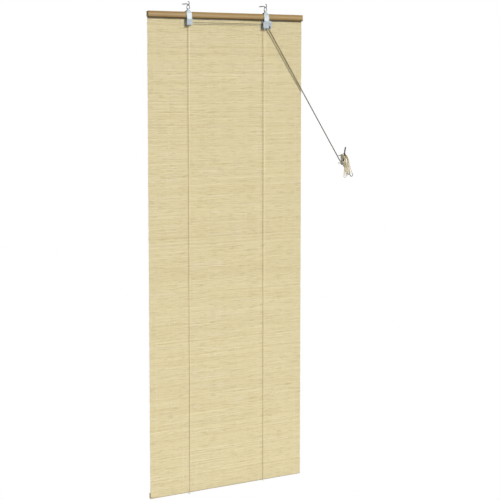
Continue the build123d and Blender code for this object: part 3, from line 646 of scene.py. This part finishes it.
# Pull cords: the same two cords beyond their wheels. Both run over the wheels of the lock and slant down to
# the cleat, where each is wound on the horns in a figure of eight and its tail hangs in loose loops.
CLEAT = np.array((0.483, -0.013, -0.5245))
HORN_LEAN = 0.007
HORN_REACH = 0.042
RUN_TOP_Z = -0.0605
RUN_CORNER_X = 0.149631
RUN_END_X = 0.4776
RUN_END_Z = -0.5485
RUN_LEADS = np.array((0.024, 0.014))
NEAR_WHEEL = 0.005
WHEEL_CHAMFER = 0.002343
DARKENING_FADE = 0.016
LOOPS_FROM_Z = -0.532
SHADED_FEET_FROM_X = 0.4840
SHADED_FEET_FROM_Z = -0.5722
FEET_SHADE_FADE = 0.003
TURNS_ANGLE = 3.62 * np.pi
TURN_POINTS = 50
UPPER_TURN = 0.0098
LOWER_TURN = 0.0212
TURN_GROWTH = 0.0009
TURN_WIDTH = 0.0050
WIDTH_GROWTH = 0.00055
TURN_FRONT = 0.0034
TURN_BEHIND = 0.0036
LOOP_BEHIND = 0.0038
LOOP_TOP_RADIUS = 0.0056
LOOP_SHOULDER = 0.014
LOOP_ARC_POINTS = 7
LEG_SHARES = np.array((0.0, 0.3, 0.65, 0.9))
LEG_SWAY = 1.5
TAIL_KNOT_REACH = 0.0015
RUN_TURN = math.radians(33.904)


def bar_y(z):
    """Y of the cleat's bent bar at a height: it leans out with the square of the distance from its middle."""
    return CLEAT[1] - HORN_LEAN * ((z - CLEAT[2]) / HORN_REACH) ** 2


def figure_of_eight(layer):
    """Controls of two turns round both horns.

    With t falling from TURNS_ANGLE to 0: z = h sin t, x = a sin 2t, and y swings from behind the bar, at the
    horns, to in front of it, where the cord crosses its middle. h, a and the front distance grow as the turns
    pile up.
    """
    wound = np.linspace(0, TURNS_ANGLE, TURN_POINTS)
    t = TURNS_ANGLE - wound
    piled = layer + wound / np.pi
    h = np.where(np.sin(t) < 0, LOWER_TURN, UPPER_TURN) + TURN_GROWTH * piled
    a = TURN_WIDTH + WIDTH_GROWTH * piled
    front = TURN_FRONT + 0.5 * CORD_DIAMETER * piled
    z = CLEAT[2] + h * np.sin(t)
    y = bar_y(z) + TURN_BEHIND - (TURN_BEHIND + front) * (0.5 + 0.5 * np.cos(2 * t))
    return np.column_stack((CLEAT[0] + a * np.sin(2 * t), y, z))


def hanging_loop(top_z, foot_x, foot_z, radius, front_y):
    """Controls of one loop: down in front, round its foot, up again, and behind the upper horn's root.

    The foot is F + radius * (-cos a, 0, -sin a), and the top T + LOOP_TOP_RADIUS * (cos a * X + sin a * U),
    where a runs from 0 to pi, and U points along the legs as they lean back over the bar.
    """
    turn = np.linspace(0, np.pi, LOOP_ARC_POINTS)[:, None]
    x_axis = np.array((1.0, 0.0, 0.0))
    z_axis = np.array((0.0, 0.0, 1.0))
    top = np.array((CLEAT[0], bar_y(top_z) + LOOP_BEHIND, top_z))
    lean = np.array((0.0, top[1] - front_y, LOOP_SHOULDER))
    lean /= np.linalg.norm(lean)
    over = top - LOOP_TOP_RADIUS * lean + LOOP_TOP_RADIUS * (np.cos(turn) * x_axis + np.sin(turn) * lean)
    foot = np.array((foot_x, front_y, foot_z)) - radius * (np.cos(turn) * x_axis + np.sin(turn) * z_axis)
    shoulder_z = top_z - LOOP_SHOULDER
    legs_z = shoulder_z + (foot_z - shoulder_z) * LEG_SHARES
    legs_x = CLEAT[0] + (foot_x - CLEAT[0]) * LEG_SHARES**LEG_SWAY
    legs_y = np.full(len(LEG_SHARES), front_y)
    wide = LOOP_TOP_RADIUS + (radius - LOOP_TOP_RADIUS) * LEG_SHARES
    left = np.column_stack((legs_x - wide, legs_y, legs_z))
    right = np.column_stack((legs_x + wide, legs_y, legs_z))[::-1]
    return np.concatenate((left, foot, right, over))


# across holds the points from the left wheel to the lock, and loops what hanging_loop() takes. The other two keys
# give where the cord starts to be drawn darker, and how much darker the hanging loops are drawn.
PULL_CORDS = {
    "left": {
        "across": ((-0.142, -0.01947, RUN_TOP_Z), (RUN_CORNER_X - NEAR_WHEEL, -0.017475, RUN_TOP_Z)),
        "groove_y": -0.017475,
        "end_y": -0.012,
        "layer": 0,
        "loops": (
            (-0.5105, 0.4785, -0.5820, 0.0055, -0.0248),
            (-0.5085, 0.4855, -0.5700, 0.0056, -0.0262),
            (-0.5065, 0.4925, -0.5715, 0.0054, -0.0276),
            (-0.5045, 0.5030, -0.5780, 0.0062, -0.0290),
        ),
        "darker_from_x": -0.146,
        "loop_darkness": 0.35,
        "tail": ((0.4745, -0.0275, -0.5345), (0.4730, -0.0275, -0.5595), (0.4725, -0.0275, -0.5715)),
    },
    "right": {
        "across": (),
        "groove_y": -0.021525,
        "end_y": -0.0155,
        "layer": 1.0,
        "loops": (
            (-0.5095, 0.4820, -0.5780, 0.0054, -0.0255),
            (-0.5075, 0.4895, -0.5702, 0.0058, -0.0269),
            (-0.5055, 0.4930, -0.5708, 0.0056, -0.0283),
            (-0.5035, 0.5028, -0.5772, 0.0060, -0.0297),
        ),
        "darker_from_x": 0.152,
        "loop_darkness": 0.08,
        "tail": ((0.4770, -0.0305, -0.5345), (0.4860, -0.0305, -0.5545), (0.4890, -0.0305, -0.5665)),
    },
}
down = np.array((math.sin(RUN_TURN), 0, -math.cos(RUN_TURN)))
for side, plan in PULL_CORDS.items():
    _, wheel_x, wheel_y = LIFT_RUNS[side]
    wheel_exit = (wheel_x, wheel_y, WHEEL_LEAD_Z)
    wheel_side = (wheel_x, wheel_y, RUN_TOP_Z - WHEEL_CHAMFER)
    wheel_top = (wheel_x + WHEEL_CHAMFER, wheel_y, RUN_TOP_Z)
    corner = np.array((RUN_CORNER_X, plan["groove_y"], RUN_TOP_Z))
    run_end = np.array((RUN_END_X, plan["end_y"], RUN_END_Z))
    pull_points = np.concatenate(
        (
            np.array((wheel_exit, wheel_side, wheel_top, *plan["across"], corner, corner + NEAR_WHEEL * down)),
            run_end - RUN_LEADS[:, None] * down,
            figure_of_eight(plan["layer"]),
            hanging_loop(*plan["loops"][0])[2:],
            *[hanging_loop(*loop) for loop in plan["loops"][1:]],
            np.array(plan["tail"]),
        )
    )
    pull_path, pull_length = smooth_route(pull_points)
    # The runs beyond the wheels and the hanging loops are drawn darker.
    darker_runs = np.clip((pull_path[:, 0] - plan["darker_from_x"]) / DARKENING_FADE, 0, 1)
    darker_runs *= np.clip((RUN_END_X - pull_path[:, 0]) / DARKENING_FADE, 0, 1)
    darker_loops = plan["loop_darkness"] * np.clip((LOOPS_FROM_Z - pull_path[:, 2]) / DARKENING_FADE, 0, 1)
    # Painted shade: the feet of the hanging loops are darkened as the shade under them.
    shaded_feet = np.clip((SHADED_FEET_FROM_Z - pull_path[:, 2]) / FEET_SHADE_FADE, 0, 1)
    shaded_feet *= np.clip((pull_path[:, 0] - SHADED_FEET_FROM_X) / FEET_SHADE_FADE, 0, 1)
    darkening = np.maximum(darker_runs, np.maximum(darker_loops, shaded_feet))
    pull_cord = twisted(f"{side}_twisted_pull_cord", pull_path, (0, 1, 0), darkening)
    fibre_piece(pull_cord)
    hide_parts(f"{side}_pull_cord", "cord_turns", "cord_hank")
    knot = overhand(f"{side}_tail_knot", plan["tail"][-1], TAIL_KNOT_REACH)
    fibre_piece(knot)


# Stage: a white floor that is out of the picture, white surroundings, one sun high on the right, weaker ones
# behind and on the left, and the camera.
FLOOR_Z = -1.9
FLOOR_HALF = 6.0
SURROUND_LIGHT = 0.32
floor_corners = [(x, y, FLOOR_Z) for y in (-FLOOR_HALF, FLOOR_HALF) for x in (-FLOOR_HALF, FLOOR_HALF)]
floor_mesh = bpy.data.meshes.new("studio_floor")
floor_mesh.from_pydata(floor_corners, [], [(0, 1, 3, 2)])
floor = bpy.data.objects.new("studio_floor", floor_mesh)
bpy.context.collection.objects.link(floor)
floor_white = bpy.data.materials.new("studio_white")
floor_white.use_nodes = True
floor_white.node_tree.nodes.clear()
looked_at = add_node(floor_white, "ShaderNodeLightPath").outputs["Is Camera Ray"]
strength = spread(floor_white, looked_at, SURROUND_LIGHT, 1.0)
glow = add_node(floor_white, "ShaderNodeEmission", {"Color": (1, 1, 1, 1), "Strength": strength})
out = add_node(floor_white, "ShaderNodeOutputMaterial")
floor_white.node_tree.links.new(glow.outputs["Emission"], out.inputs["Surface"])
floor_mesh.materials.append(floor_white)

world = bpy.data.worlds.new("white_studio")
bpy.context.scene.world = world
world.use_nodes = True
seen = world.node_tree.nodes["Background"]
seen.inputs["Color"].default_value = (1, 1, 1, 1)
lighting = world.node_tree.nodes.new("ShaderNodeBackground")
lighting.inputs["Color"].default_value = (1, 1, 1, 1)
lighting.inputs["Strength"].default_value = SURROUND_LIGHT
ray = world.node_tree.nodes.new("ShaderNodeLightPath")
choice = world.node_tree.nodes.new("ShaderNodeMixShader")
world.node_tree.links.new(ray.outputs["Is Camera Ray"], choice.inputs["Fac"])
world.node_tree.links.new(lighting.outputs["Background"], choice.inputs[1])
world.node_tree.links.new(seen.outputs["Background"], choice.inputs[2])
world.node_tree.links.new(choice.outputs["Shader"], world.node_tree.nodes["World Output"].inputs["Surface"])

SUN_RIGHT = math.radians(14)
SUN_UP = math.radians(31)
sun_data = bpy.data.lights.new("key_sun", "SUN")
sun_data.energy = 3.08
sun_data.angle = math.radians(2.0)
sun = bpy.data.objects.new("key_sun", sun_data)
sun.rotation_euler = (math.pi / 2 - SUN_UP, 0, SUN_RIGHT)
bpy.context.collection.objects.link(sun)

FILL_LIGHTS = {"back_fill": (1.2, 20.0, 150.0), "left_fill": (0.6, 60.0, -72.0)}
for name, (energy, width, turned) in FILL_LIGHTS.items():
    fill_data = bpy.data.lights.new(name, "SUN")
    fill_data.energy = energy
    fill_data.angle = math.radians(width)
    fill = bpy.data.objects.new(name, fill_data)
    fill.rotation_euler = (math.pi / 2 - SUN_UP, 0, math.radians(turned))
    bpy.context.collection.objects.link(fill)

CAMERA_TURN = math.radians(32.552)
CAMERA_PITCH = math.radians(5.558)
camera_data = bpy.data.cameras.new("photo_camera")
camera_data.lens = 104.43
camera_data.sensor_width = 36.0
camera_data.shift_y = -0.05
camera_data.clip_end = 100.0
camera = bpy.data.objects.new("photo_camera", camera_data)
camera.location = (-2.5427, -4.1368, -0.2596)
camera.rotation_euler = (math.pi / 2 - CAMERA_PITCH, 0, -CAMERA_TURN)
bpy.context.collection.objects.link(camera)
bpy.context.scene.camera = camera
bpy.context.scene.view_settings.view_transform = "Standard"
